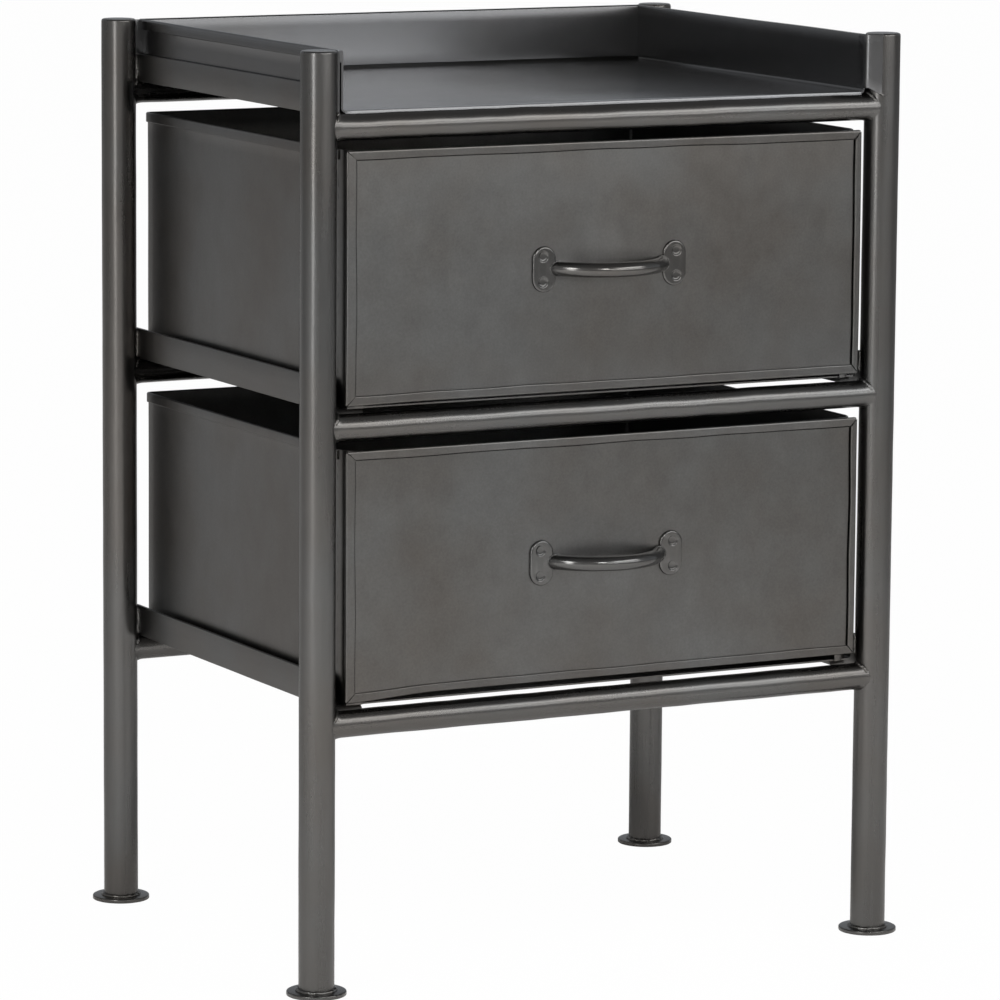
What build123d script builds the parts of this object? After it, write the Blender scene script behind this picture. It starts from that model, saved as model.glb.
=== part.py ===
"""Welded steel bedside chest: tube frame, folded sheet tray top and two sheet drawers.

Millimetres, +Z up, front of the chest towards -Y. The pieces are laid out about the
middle of the four legs on the floor, and moved together to the origin when they are saved.
"""
import os
from math import asin, cos, degrees, radians, sin, tan

from build123d import *

# Frame: four legs and three levels of cross rails
LEG_SPACING_X = 444.0       # between leg axes, side to side
LEG_SPACING_Y = 330.0       # between leg axes, front to back
LEG_DIAMETER = 25.0
LEG_WALL = 1.5
CAP_THICKNESS = 2.0
CAP_ROUND = 0.8             # rounded rim of the cap
FOOT_DIAMETER = 42.0
FOOT_THICKNESS = 3.0
FOOT_ROUND = 0.8            # rounded upper rim of the foot
RAIL_DIAMETER = 19.0
RAIL_WALL = 1.5
LOW_RAIL_Z = 188.0          # floor to the axis of the lowest rails
RAIL_PITCH = 205.0          # from one level of rails to the next
COPE_GAP = 0.1              # between a rail's coped end and the leg, filled by the weld

# Angle bars: drawer runners and tray supports
ANGLE_THICKNESS = 3.0
ANGLE_WIDTH = 22.0          # flange that lies flat and carries the drawer or tray
RUNNER_HEIGHT = 22.0        # upright flange of a drawer runner
SUPPORT_HEIGHT = 20.0       # upright flange of a tray support
STOP_HEIGHT = 8.0           # turned-up end of a runner that stops the closing drawer

# Tray top: one sheet with three folded walls
TRAY_SHEET = 1.5
TRAY_WALL_HEIGHT = 41.0     # floor of the tray to the tops of walls and legs
TRAY_FOLD_RADIUS = 2.0      # inside of the folds along the floor
TRAY_HEM_HEIGHT = 8.0       # folded rim at the tops of the walls
TRAY_BACK_INSET = 4.0       # back of the tray, in front of the rear leg axes
TRAY_FRONT_OVERHANG = 3.0   # front edge of the floor, in front of the front leg axes
TRAY_FIT_GAP = 0.2          # between the tray and its supports, and the legs
RETURN_WIDTH = 12.0         # front end of a side wall, bent out against the leg
RETURN_ANGLE = 35.0         # bend of that end, from straight ahead

# Drawers: both alike
DRAWER_SHEET = 1.2
DRAWER_SIDE_GAP = 4.5       # drawer side to runner
DRAWER_HEAD_GAP = 6.5       # drawer rim to the rail above
RUNNING_GAP = 0.3           # drawer to runner, and drawer to stop
DRAWER_BEND_RADIUS = 3.0    # inside of the bent rear corners
DRAWER_HEM_HEIGHT = 7.0     # folded rim along the sides and back
DRAWER_FLANGE = 12.0        # turned-in front ends of the sides, joined to the front
BOTTOM_FIT_GAP = 0.1        # drawer bottom to the bent sides
FRONT_SETBACK = 7.0         # face of the drawer front, behind the front of the legs
FRONT_LIFT = 2.0            # lower edge of the drawer front above the runner
FRONT_HEM_WIDTH = 7.0       # folded border of the drawer front
MITRE_GAP = 0.5             # open seam where two borders meet in a corner

# Handles: bow pulls riveted to the drawer fronts
PLATE_SPACING = 103.0       # between the middles of the two end plates
PLATE_WIDTH = 18.0
PLATE_HEIGHT = 32.0
PLATE_THICKNESS = 2.0
PLATE_ROUND = 0.7
BAR_DIAMETER = 10.5
BAR_REACH = 30.0            # drawer front to the outermost point of the bar
BAR_INSET = 5.5             # root of the bar, from the middle of its plate inwards
RIVET_SPACING = 17.4        # between the two rivets of a plate
RIVET_OFFSET = 1.0          # rivets, from the middle of the plate outwards
COUNTERSINK_DIAMETER = 7.5  # mouth of the rivet hole in the plate
COUNTERSINK_ANGLE = 90.0    # full angle of the hole's cone
RIVET_SINK = 0.6            # face of the rivet head below the face of the plate
RIVET_SHANK_DIAMETER = 4.0
RIVET_TAIL_DIAMETER = 6.0
RIVET_TAIL_THICKNESS = 1.0
RIVET_HOLE_GAP = 0.1        # all round the shank

SIDES = {"left": -1, "right": 1}
ENDS = {"front": -1, "rear": 1}
LEVELS = {"bottom": 0, "middle": 1, "top": 2}
DRAWERS = {"lower": 0, "upper": 1}

# Places that several pieces share
LEG_X = LEG_SPACING_X / 2
LEG_Y = LEG_SPACING_Y / 2
LEG_RADIUS = LEG_DIAMETER / 2
RAIL_RADIUS = RAIL_DIAMETER / 2
BAY_HALF = LEG_X - LEG_RADIUS
RUNNER_INNER = BAY_HALF - ANGLE_THICKNESS
TRAY_BASE_Z = LOW_RAIL_Z + max(LEVELS.values()) * RAIL_PITCH + RAIL_RADIUS
TRAY_FLOOR_Z = TRAY_BASE_Z + TRAY_SHEET
HEIGHT = TRAY_FLOOR_Z + TRAY_WALL_HEIGHT
TRAY_HALF = RUNNER_INNER - TRAY_FIT_GAP
TRAY_BACK_Y = LEG_Y - TRAY_BACK_INSET
DRAWER_HALF = RUNNER_INNER - DRAWER_SIDE_GAP
FRONT_HALF = DRAWER_HALF + DRAWER_SHEET
STOP_Y = LEG_Y - ANGLE_THICKNESS
DRAWER_BACK_Y = STOP_Y - RUNNING_GAP
HEM_FACE_Y = -(LEG_Y + LEG_RADIUS - FRONT_SETBACK)
FIELD_FACE_Y = HEM_FACE_Y + DRAWER_SHEET
FRONT_BACK_Y = FIELD_FACE_Y + DRAWER_SHEET
PLATE_FACE_Y = FIELD_FACE_Y - PLATE_THICKNESS

# The origin lies on the floor under the middle of the whole depth, handles included
FRONT_REACH = BAR_REACH - FIELD_FACE_Y
REAR_REACH = LEG_Y + FOOT_DIAMETER / 2
ORIGIN_SHIFT_Y = (FRONT_REACH - REAR_REACH) / 2


def block(low, high):
    """Box between its lowest and its highest corner."""
    size = [top - bottom for bottom, top in zip(low, high)]
    return Pos(*low) * Box(*size, align=(Align.MIN, Align.MIN, Align.MIN))


def upright(radius, bottom, top):
    """Round bar along Z."""
    return Pos(0, 0, bottom) * Cylinder(
        radius, top - bottom, align=(Align.CENTER, Align.CENTER, Align.MIN)
    )


def facing_front(x, y, z):
    """Plane whose normal looks out of the front of the chest."""
    return Plane(origin=(x, y, z), x_dir=(1, 0, 0), z_dir=(0, -1, 0))


def save(name, shape):
    """Write one piece, moved to the origin that the whole chest shares."""
    export_step(Pos(0, ORIGIN_SHIFT_Y, 0) * shape, f"parts/{name}.step")


def rail_z(level):
    return LOW_RAIL_Z + level * RAIL_PITCH


def leg():
    bottom, top = FOOT_THICKNESS, HEIGHT - CAP_THICKNESS
    return upright(LEG_RADIUS, bottom, top) - upright(LEG_RADIUS - LEG_WALL, bottom, top)


def leg_cap():
    disc = upright(LEG_RADIUS, HEIGHT - CAP_THICKNESS, HEIGHT)
    return fillet(disc.faces().sort_by(Axis.Z)[-1].edges(), CAP_ROUND)


def foot():
    disc = upright(FOOT_DIAMETER / 2, 0, FOOT_THICKNESS)
    return fillet(disc.faces().sort_by(Axis.Z)[-1].edges(), FOOT_ROUND)


def rail(end, level):
    """Round tube between two legs, its ends hollowed to sit against them."""
    axis = Pos(0, end * LEG_Y, rail_z(level)) * Rot(0, 90, 0)
    tube = axis * Cylinder(RAIL_RADIUS, LEG_SPACING_X)
    tube -= axis * Cylinder(RAIL_RADIUS - RAIL_WALL, LEG_SPACING_X)
    for side in SIDES.values():
        tube -= Pos(side * LEG_X, end * LEG_Y, 0) * upright(LEG_RADIUS + COPE_GAP, 0, HEIGHT)
    return tube


def angle_bar(side, base_z, height):
    """L bar from front leg to rear leg: flange at the bottom, upright against the legs."""
    inner = BAY_HALF - ANGLE_WIDTH
    flat = block((inner, -LEG_Y, base_z), (BAY_HALF, LEG_Y, base_z + ANGLE_THICKNESS))
    wall = block((RUNNER_INNER, -LEG_Y, base_z), (BAY_HALF, LEG_Y, base_z + height))
    bar = flat + wall
    return bar if side > 0 else mirror(bar, about=Plane.YZ)


def runner(side, level):
    """Angle bar on top of the rails, its rear end turned up as the drawer's stop."""
    base_z = rail_z(level) + RAIL_RADIUS
    flat_top = base_z + ANGLE_THICKNESS
    near, far = side * (BAY_HALF - ANGLE_WIDTH), side * BAY_HALF
    stop = block(
        (min(near, far), STOP_Y, base_z), (max(near, far), LEG_Y, flat_top + STOP_HEIGHT)
    )
    return angle_bar(side, base_z, RUNNER_HEIGHT) + stop


def tray_support(side):
    """Angle bar level with the tops of the top rails and notched round them."""
    bar = angle_bar(side, TRAY_BASE_Z - ANGLE_THICKNESS, SUPPORT_HEIGHT)
    for end in ENDS.values():
        notch = Cylinder(RAIL_RADIUS + COPE_GAP, LEG_SPACING_X)
        bar -= Pos(0, end * LEG_Y, TRAY_BASE_Z - RAIL_RADIUS) * Rot(0, 90, 0) * notch
    return bar


def wall_return(side):
    """Front end of a tray wall, bent out to lie along the front leg.

    Its middle line keeps a fixed distance from the leg's axis, and starts where it meets
    the middle of the side wall.
    """
    bend = radians(RETURN_ANGLE)
    away = LEG_RADIUS + TRAY_FIT_GAP + TRAY_SHEET / 2
    wall_x = TRAY_HALF - TRAY_SHEET / 2
    start = (wall_x - LEG_X + away * cos(bend)) / sin(bend)
    middle = start + RETURN_WIDTH / 2
    x = LEG_X - away * cos(bend) + middle * sin(bend)
    y = -LEG_Y - away * sin(bend) - middle * cos(bend)
    plate = Box(TRAY_SHEET, RETURN_WIDTH, HEIGHT - TRAY_FLOOR_Z)
    turned = Pos(x, y, (HEIGHT + TRAY_FLOOR_Z) / 2) * Rot(0, 0, RETURN_ANGLE) * plate
    return turned if side > 0 else mirror(turned, about=Plane.YZ)


def top_tray():
    """Sheet floor with left, back and right walls, open at the front."""
    front_y = -LEG_Y - TRAY_FRONT_OVERHANG
    outer = block((-TRAY_HALF, front_y, TRAY_BASE_Z), (TRAY_HALF, TRAY_BACK_Y, HEIGHT))
    base = outer.faces().sort_by(Axis.Z)[0].edges().sort_by(Axis.Y)
    outer = fillet(base[1:], TRAY_FOLD_RADIUS + TRAY_SHEET)
    inside_half = TRAY_HALF - TRAY_SHEET
    inner = block(
        (-inside_half, front_y - TRAY_SHEET, TRAY_FLOOR_Z),
        (inside_half, TRAY_BACK_Y - TRAY_SHEET, HEIGHT + TRAY_SHEET),
    )
    floor_edges = inner.faces().sort_by(Axis.Z)[0].edges().sort_by(Axis.Y)
    tray = outer - fillet(floor_edges[1:], TRAY_FOLD_RADIUS)
    # The side walls stop at the front legs, the floor runs on over the rail
    over_rail = block(
        (-TRAY_HALF, front_y, TRAY_FLOOR_Z), (TRAY_HALF, -LEG_Y, HEIGHT)
    )
    tray -= over_rail
    rim = block(
        (-TRAY_HALF - TRAY_SHEET, -LEG_Y, HEIGHT - TRAY_HEM_HEIGHT),
        (TRAY_HALF + TRAY_SHEET, TRAY_BACK_Y + TRAY_SHEET, HEIGHT),
    )
    tray += rim - block((-TRAY_HALF, -LEG_Y, 0), (TRAY_HALF, TRAY_BACK_Y, HEIGHT))
    # The back wall runs on to both rear legs
    leg_reach = LEG_RADIUS + TRAY_FIT_GAP
    end_x = LEG_X - (leg_reach**2 - TRAY_BACK_INSET**2) ** 0.5
    for side in SIDES.values():
        low_x, high_x = sorted((side * inside_half, side * end_x))
        tray += block(
            (low_x, TRAY_BACK_Y - TRAY_SHEET, TRAY_BASE_Z + SUPPORT_HEIGHT),
            (high_x, TRAY_BACK_Y, HEIGHT),
        )
        tray += wall_return(side)
    return tray


def pan_outline(half_width, front_y, rear_y, corner_radius):
    """Plan of a drawer, square in front and rounded at the rear corners."""
    plan = Pos(0, (front_y + rear_y) / 2) * Rectangle(2 * half_width, rear_y - front_y)
    return fillet(plan.vertices().sort_by(Axis.Y)[-2:], corner_radius)


def drawer_base_z(level):
    return rail_z(level) + RAIL_RADIUS + ANGLE_THICKNESS + RUNNING_GAP


def drawer_top_z(level):
    return rail_z(level + 1) - RAIL_RADIUS - DRAWER_HEAD_GAP


def drawer_body(level):
    """Sides and back bent from one strip, with an outward folded rim."""
    inside_half = DRAWER_HALF - DRAWER_SHEET
    outer = pan_outline(
        DRAWER_HALF, FRONT_BACK_Y, DRAWER_BACK_Y, DRAWER_BEND_RADIUS + DRAWER_SHEET
    )
    inner = pan_outline(
        inside_half,
        FRONT_BACK_Y + DRAWER_SHEET,
        DRAWER_BACK_Y - DRAWER_SHEET,
        DRAWER_BEND_RADIUS,
    )
    mouth = Pos(0, FRONT_BACK_Y) * Rectangle(
        2 * (inside_half - DRAWER_FLANGE), 4 * DRAWER_SHEET
    )
    rim = pan_outline(
        DRAWER_HALF + DRAWER_SHEET,
        FRONT_BACK_Y,
        DRAWER_BACK_Y + DRAWER_SHEET,
        DRAWER_BEND_RADIUS + 2 * DRAWER_SHEET,
    )
    base_z, top_z = drawer_base_z(level), drawer_top_z(level)
    walls = Pos(0, 0, base_z) * extrude(outer - inner - mouth, top_z - base_z)
    hem = Pos(0, 0, top_z - DRAWER_HEM_HEIGHT) * extrude(rim - outer, DRAWER_HEM_HEIGHT)
    return walls + hem


def drawer_bottom(level):
    """Flat sheet between the bent sides, resting on both runners."""
    plan = pan_outline(
        DRAWER_HALF - DRAWER_SHEET - BOTTOM_FIT_GAP,
        FRONT_BACK_Y + DRAWER_SHEET + BOTTOM_FIT_GAP,
        DRAWER_BACK_Y - DRAWER_SHEET - BOTTOM_FIT_GAP,
        DRAWER_BEND_RADIUS - BOTTOM_FIT_GAP,
    )
    return Pos(0, 0, drawer_base_z(level)) * extrude(plan, DRAWER_SHEET)


def front_bottom_z(level):
    return rail_z(level) + RAIL_RADIUS + ANGLE_THICKNESS + FRONT_LIFT


def handle_z(level):
    return (front_bottom_z(level) + drawer_top_z(level)) / 2


def rivet_places(level):
    """Middles of the four rivets of a handle, across and up."""
    return [
        (side * (PLATE_SPACING / 2 + RIVET_OFFSET), handle_z(level) + end * RIVET_SPACING / 2)
        for side in SIDES.values()
        for end in ENDS.values()
    ]


def countersink(top, gap):
    """Cone along Z for a rivet head or its hole, cut off at top, with the plate's face at zero."""
    slope = tan(radians(COUNTERSINK_ANGLE / 2))
    mouth, shank = COUNTERSINK_DIAMETER / 2, RIVET_SHANK_DIAMETER / 2
    depth = (mouth - shank) / slope
    return Pos(0, 0, -depth) * Cone(
        shank + gap,
        mouth + top * slope + gap,
        depth + top,
        align=(Align.CENTER, Align.CENTER, Align.MIN),
    )


def rivet_holes(level):
    """Countersunk bars that cut the rivet holes through the plates and the drawer front."""
    radius = RIVET_SHANK_DIAMETER / 2 + RIVET_HOLE_GAP
    bar = upright(radius, PLATE_FACE_Y - FRONT_BACK_Y, 0) + countersink(0, RIVET_HOLE_GAP)
    return [facing_front(x, PLATE_FACE_Y, z) * bar for x, z in rivet_places(level)]


def drawer_front(level):
    """Sheet with all four edges folded flat to the front, mitred in the corners."""
    bottom, top = front_bottom_z(level), drawer_top_z(level)
    panel = block((-FRONT_HALF, HEM_FACE_Y, bottom), (FRONT_HALF, FRONT_BACK_Y, top))
    fold_round = 0.8 * DRAWER_SHEET
    faces = panel.faces().sort_by(Axis.Y)
    panel = fillet(faces[0].edges() + faces[-1].edges(), fold_round)
    panel -= block(
        (FRONT_HEM_WIDTH - FRONT_HALF, HEM_FACE_Y, bottom + FRONT_HEM_WIDTH),
        (FRONT_HALF - FRONT_HEM_WIDTH, FIELD_FACE_Y, top - FRONT_HEM_WIDTH),
    )
    for side in SIDES.values():
        for corner_z, slope in ((bottom, -side), (top, side)):
            seam = Box(2 * FRONT_HEM_WIDTH, DRAWER_SHEET, MITRE_GAP)
            panel -= Pos(side * FRONT_HALF, HEM_FACE_Y, corner_z) * Rot(0, -45 * slope, 0) * seam
    return panel - rivet_holes(level)


def handle(level):
    """Bowed bar with an oval plate at each end."""
    z = handle_z(level)
    plate = extrude(SlotOverall(PLATE_HEIGHT, PLATE_WIDTH, rotation=90), PLATE_THICKNESS)
    plate = fillet(plate.faces().sort_by(Axis.Z)[-1].edges(), PLATE_ROUND)
    root = PLATE_SPACING / 2 - BAR_INSET
    rise = BAR_REACH - BAR_DIAMETER / 2
    bow_radius = (root**2 + rise**2) / (2 * rise)
    bow_middle = Vector(0, FIELD_FACE_Y - rise + bow_radius, z)
    half_turn = degrees(asin(root / bow_radius) + BAR_DIAMETER / 2 / bow_radius)
    bow = Pos(bow_middle) * CenterArc((0, 0, 0), bow_radius, 270 - half_turn, 2 * half_turn)
    bar = sweep(Plane(origin=bow @ 0, z_dir=bow % 0) * Circle(BAR_DIAMETER / 2), path=bow)
    room = root + BAR_DIAMETER
    bar &= block(
        (-room, FIELD_FACE_Y - BAR_REACH - BAR_DIAMETER, z - BAR_DIAMETER),
        (room, FIELD_FACE_Y, z + BAR_DIAMETER),
    )
    pull = bar
    for side in SIDES.values():
        pull += facing_front(side * PLATE_SPACING / 2, FIELD_FACE_Y, z) * plate
    return pull - rivet_holes(level)


def rivet():
    """Rivet along Z: head sunk below the plate's face at zero, shank and tail below it."""
    grip = PLATE_THICKNESS + DRAWER_SHEET
    shank = upright(RIVET_SHANK_DIAMETER / 2, -grip, -RIVET_SINK)
    tail = upright(RIVET_TAIL_DIAMETER / 2, -grip - RIVET_TAIL_THICKNESS, -grip)
    return countersink(-RIVET_SINK, 0) + shank + tail


def handle_rivets(level):
    return Compound([facing_front(x, PLATE_FACE_Y, z) * rivet() for x, z in rivet_places(level)])


def save_frame():
    for end_name, end in ENDS.items():
        for side_name, side in SIDES.items():
            place = Pos(side * LEG_X, end * LEG_Y, 0)
            save(f"{end_name}_{side_name}_leg", place * leg())
            save(f"{end_name}_{side_name}_leg_cap", place * leg_cap())
            save(f"{end_name}_{side_name}_foot", place * foot())
        for level_name, level in LEVELS.items():
            save(f"{end_name}_{level_name}_rail", rail(end, level))
    for side_name, side in SIDES.items():
        save(f"{side_name}_tray_support", tray_support(side))
        for drawer_name, level in DRAWERS.items():
            save(f"{drawer_name}_{side_name}_runner", runner(side, level))
    save("top_tray", top_tray())


def save_drawers():
    for name, level in DRAWERS.items():
        save(f"{name}_drawer_front", drawer_front(level))
        save(f"{name}_drawer_body", drawer_body(level))
        save(f"{name}_drawer_bottom", drawer_bottom(level))
        save(f"{name}_drawer_handle", handle(level))
        save(f"{name}_drawer_handle_rivets", handle_rivets(level))


os.makedirs("parts", exist_ok=True)
save_frame()
save_drawers()
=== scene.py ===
"""Looks of a welded steel bedside chest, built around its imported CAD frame.

Metres, +Z up, front of the chest towards -Y. Each CAD node is replaced in its place by a finer
mesh with rolled, folded and welded detail, and has a node material of dark lacquered steel.
"""
from math import acos, asin, ceil, cos, dist, exp, pi, radians, sin, sqrt, tan

import bmesh
import bpy
from mathutils import Euler, Matrix, Vector, noise


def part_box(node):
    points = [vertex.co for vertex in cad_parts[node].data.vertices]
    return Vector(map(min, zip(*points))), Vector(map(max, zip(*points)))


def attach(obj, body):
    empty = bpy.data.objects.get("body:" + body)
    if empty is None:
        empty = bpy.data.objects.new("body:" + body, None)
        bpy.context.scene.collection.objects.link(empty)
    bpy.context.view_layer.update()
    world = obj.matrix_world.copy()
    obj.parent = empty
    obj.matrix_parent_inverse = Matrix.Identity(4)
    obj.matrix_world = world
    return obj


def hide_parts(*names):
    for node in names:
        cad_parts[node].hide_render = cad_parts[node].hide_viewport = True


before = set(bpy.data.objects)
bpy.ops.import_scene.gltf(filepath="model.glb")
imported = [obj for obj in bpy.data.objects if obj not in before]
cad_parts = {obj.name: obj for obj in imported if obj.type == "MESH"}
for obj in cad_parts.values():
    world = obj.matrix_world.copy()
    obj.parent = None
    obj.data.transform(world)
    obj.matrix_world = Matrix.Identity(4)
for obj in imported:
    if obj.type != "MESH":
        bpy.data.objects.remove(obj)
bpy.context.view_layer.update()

# Vector noise starts from the clock unless it is given a seed
noise.seed_set(4)

MM = 0.001
X, Y, Z = Vector((1, 0, 0)), Vector((0, 1, 0)), Vector((0, 0, 1))
SIDES = {"left": -1, "right": 1}
ENDS = {"front": -1, "rear": 1}
LEVELS = ("bottom", "middle", "top")
DRAWERS = ("lower", "upper")

# Stock and folds, as the solids have them
TUBE_WALL = 1.5 * MM
COPE_GAP = 0.1 * MM
ANGLE_THICKNESS = 3 * MM
STOP_HEIGHT = 8 * MM
TRAY_SHEET = 1.5 * MM
TRAY_FOLD = 2 * MM
TRAY_HEM = 8 * MM
TRAY_FIT = 0.2 * MM
TRAY_OVERHANG = 3 * MM
RETURN_WIDTH = 12 * MM
DRAWER_SHEET = 1.2 * MM
DRAWER_BEND = 3 * MM
DRAWER_HEM = 7 * MM
DRAWER_FLANGE = 12 * MM
PLATE_WIDTH = 18 * MM
PLATE_THICKNESS = 2 * MM
BAR_RADIUS = 5.25 * MM
HOLE_MOUTH = 3.75 * MM
RIVET_HEAD = 3 * MM

# Soft dents: their depth, and the size of the noise that shapes them
TUBE_DENTS = (0.12 * MM, 28 * MM)
RAIL_DENTS = (0.35 * MM, 24 * MM)
ANGLE_DENTS = (0.12 * MM, 60 * MM)
TRAY_DENTS = (0.3 * MM, 90 * MM)
FRONT_DENTS = (0.45 * MM, 120 * MM)
BODY_DENTS = (0.3 * MM, 120 * MM)
BOTTOM_DENTS = (0.1 * MM, 120 * MM)
BAR_DENTS = (0.08 * MM, 14 * MM)
NOISE_SHIFT = Vector((1.7, 3.1, 2.3))

# Weld beads: radii, lumps and ripples
FOOT_BEAD = 1.4 * MM
RAIL_BEAD = 1.3 * MM
ANGLE_BEAD = 1.7 * MM
RETURN_BEAD = 1.1 * MM
ROOT_BEAD = 0.45 * MM
BEAD_SIDES = 14
BEAD_TIP = 0.12
BEAD_LUMP = 0.4
BEAD_LUMP_SIZE = 3 * MM
BEAD_RIPPLE = 2.6 * MM
BEAD_RIPPLE_RISE = 0.1

# Hand-made details and irregularities
RIM_ROOM = 0.35 * MM
RIM_LUMP_SIZE = 5 * MM
WELD_REACH = 5.5 * MM
WELD_SWELL = 0.9 * MM
WELD_LUMP = 0.6 * MM
LIP_FACE = 2.2 * MM
LIP_SLOPE = radians(12)
LIP_CORNER = 5 * MM
# Step at the foot of the tray's back wall, filled by a near-black strip of painted shade
SEAM_HEIGHT = 1.7 * MM
SEAM_DEPTH = 0.9 * MM
MITRE_GAP = 0.8 * MM
FRONT_BEND = 12 * MM
ROOT_INSET = 9.5 * MM
DISH_DEPTH = 0.8 * MM
PLATE_ROUND = 1.4 * MM
RETURN_ANGLES = {-1: radians(25), 1: radians(52)}
HEM_BULGE = 0.5 * MM
HEM_TOE = 0.9 * MM
HEM_WAVE = 0.7 * MM
HEM_WAVE_SIZE = 45 * MM
# Width of the near-black line painted as shade along a hem's loose edge
SHADE_LINE_WIDTH = 0.6 * MM
RUNNER_SLANT = 0.4
HANDLE_BULGE = 0.9 * MM
HANDLE_BULGE_WIDTH = 30 * MM
HANDLE_BULGE_HEIGHT = 16 * MM
LIFT_RAMP = 70 * MM

# Drawer fronts: how far the lower edge is drawn up, and how far top and bottom bow back
FRONT_LIFTS = {"lower": 3.2 * MM, "upper": 0.8 * MM}
FRONT_BOWS = {"lower": 0.2 * MM, "upper": 0.9 * MM}

# Hems of the drawer fronts: width, and how far the loose edge stands off the field
FRONT_HEMS = {
    "left": (7.3 * MM, 0.3 * MM),
    "right": (5.4 * MM, 1.1 * MM),
    "top": (6.2 * MM, 0.2 * MM),
    "bottom": (6.6 * MM, 0.25 * MM),
}

# Mesh density
ROUND_STEPS = 56
TUBE_STEP = 6 * MM
SHEET_STEP = 9 * MM
LIP_STEP = 3 * MM
CREASE_ANGLE = radians(38)

# Steel: sizes of its markings, the ranges of noise and pointiness that show, and the lacquer
BLOTCH_SIZE = 105 * MM
MOTTLE_SIZE = 12 * MM
SPECK_SIZE = 1.5 * MM
NOISE_RANGE = (0.25, 0.75)
BLOTCH_RANGE = (0.36, 0.64)
WEAR_RANGE = (0.35, 0.65)
EDGE_RANGE = (0.56, 0.7)
UPWARD_RANGE = (0.7, 1)
BUMP_DISTANCE = 0.1 * MM
COAT_WEIGHT = 0.2
COAT_ROUGHNESS = 0.25
PLAIN_GRAIN = (1, 1, 1)

# Camera at the photograph's angle, angles in degrees and lens in mm
CAMERA_PLACE = (-1.875822, -3.551438, 0.934611)
CAMERA_AZIMUTH = -27.8671
CAMERA_ELEVATION = 8.8751
CAMERA_ROLL = 0.4357
CAMERA_LENS = 202.31
CAMERA_SENSOR = 36
CAMERA_REACH = 200

# Lamps round the chest: azimuth and elevation in degrees, distance, face and brightness
CHEST_MIDDLE = Vector((0, 0, 0.5))
LAMPS = {
    "low_strip": (24, 9.5, 1.8, (1.7, 0.28), 2.1),
    "high_strip": (31, 26, 1.8, (1.3, 0.4), 2.8),
    "left_strip": (-57, 4, 2.2, (0.34, 0.8), 3.8),
    "left_window": (-59, 22, 2.2, (0.5, 0.3), 9),
    "front_window": (-8, 19, 2.2, (0.3, 0.3), 10),
    "rim": (152, 34, 2.5, (1.2, 0.3), 1.2),
}

# Lamps over the floor, which metal doesn't mirror: place, side of the square face and brightness
FLOOR_LAMP_HEIGHT = 2.2
FLOOR_LAMPS = {
    "back": (-1.8, 3.8, 2.0, 1.7),
    "left": (-2.2, -1.4, 1.8, 5.4),
    "front": (0.8, -1.8, 1.7, 2.1),
}

# Floor and sky: how white the camera sees the floor, how much white is mirrored, and the colours
FLOOR_HALF = 40.0
FLOOR_WHITE = 0.985
MIRRORED_WHITE = 0.06
WHITE = (1, 1, 1, 1)
FLOOR_COLOUR = (0.80, 0.785, 0.77, 1)
FRONT_SKY = (0.52, 0.515, 0.505, 1)
REAR_SKY = (0.32, 0.34, 0.37, 1)
HIGH_SKY = (0.1, 0.1, 0.1, 1)
SKY_SLANT = 0.75
SKY_FALL = 1.2


def arc(centre, radius, start, stop, steps):
    """Points of an arc, its angles in degrees."""
    turns = [radians(start + (stop - start) * i / steps) for i in range(steps + 1)]
    return [(centre[0] + radius * cos(t), centre[1] + radius * sin(t)) for t in turns]


def rounded(corners, steps=4):
    """Closed outline through (u, v, radius) corners, each turned into an arc."""
    outline = []
    for i, (u, v, radius) in enumerate(corners):
        here = Vector((u, v))
        back = (Vector(corners[i - 1][:2]) - here).normalized()
        ahead = (Vector(corners[(i + 1) % len(corners)][:2]) - here).normalized()
        half = back.angle(ahead) / 2
        middle = here + (back + ahead).normalized() * radius / sin(half)
        first = here + back * radius / tan(half) - middle
        last = here + ahead * radius / tan(half) - middle
        turn = 1 if first.x * last.y > first.y * last.x else -1
        for s in range(steps + 1):
            swing = Matrix.Rotation(turn * (pi - 2 * half) * s / steps, 2)
            outline.append(tuple(middle + swing @ first))
    return outline


def subdivided(outline, longest):
    """Closed outline whose edges are no longer than the given length."""
    points = []
    for a, b in zip(outline, outline[1:] + outline[:1]):
        parts = max(1, ceil(dist(a, b) / longest))
        for i in range(parts):
            points.append((a[0] + (b[0] - a[0]) * i / parts, a[1] + (b[1] - a[1]) * i / parts))
    return points


def skin(rings, closed=False):
    """Shell over rings of equally many points; open rows of rings get flat ends."""
    count = len(rings[0])
    points = [point for ring in rings for point in ring]
    faces = []
    for r in range(len(rings) if closed else len(rings) - 1):
        near, far = r * count, (r + 1) % len(rings) * count
        for i in range(count):
            j = (i + 1) % count
            faces.append((near + i, near + j, far + j, far + i))
    if not closed:
        faces.append(tuple(range(count)))
        faces.append(tuple(range(len(points) - count, len(points))))
    return points, faces


def carried(section, start, stop, across, up, longest, trim=None):
    """Rings of a (u, v) section carried along a line.

    trim tells how far each (u, v) stays short of the start and of the stop.
    """
    start, stop = Vector(start), Vector(stop)
    length = (stop - start).length
    along = (stop - start) / length
    parts = max(1, ceil(length / longest))
    rings = []
    for i in range(parts + 1):
        ring = []
        for u, v in section:
            first, last = trim(u, v) if trim else (0, 0)
            reach = first + (length - first - last) * i / parts
            ring.append(start + across * u + up * v + along * reach)
        rings.append(ring)
    return rings


def bent(section, frames):
    """Shell of a (u, v) section carried through frames of (origin, across, up)."""
    return skin([[o + across * u + up * v for u, v in section] for o, across, up in frames])


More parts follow.
